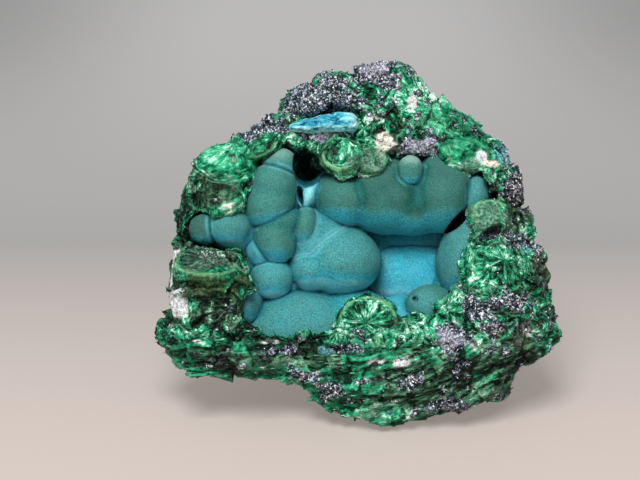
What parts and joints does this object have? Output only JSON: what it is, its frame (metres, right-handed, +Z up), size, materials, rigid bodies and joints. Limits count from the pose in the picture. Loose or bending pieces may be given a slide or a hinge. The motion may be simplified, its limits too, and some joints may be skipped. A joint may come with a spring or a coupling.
{
  "type": "chrysocolla and malachite specimen",
  "caption": "Hand-sized mineral specimen: a broken lump of dark green fibrous malachite whose front opens into a hollow lined with a crust of blue-green chrysocolla balls.",
  "frame": {"origin": "on the resting flat, below the middle of the specimen's box", "axes": "+Z up, +X to the right of the hollow as seen from the front, +Y away from the viewer into the stone; the front with the hollow leans back 20 degrees and faces -Y"},
  "size_m": [0.09, 0.0592, 0.0744],
  "materials": {
    "malachite": "broken fibrous malachite, silky to glassy, dark to bright green with pale fibre fans and dark sparkling druse",
    "chrysocolla": "fine-grained matt crust, grey teal on the balls and bright cyan blue in the recesses",
    "chrysocolla_pale": "fine-grained matt crust, pale cyan blue"
  },
  "bodies": {
    "root": {"malachite_matrix": "malachite", "chrysocolla_crust": "chrysocolla", "chrysocolla_seam": "chrysocolla_pale"}
  },
  "joints": []
}
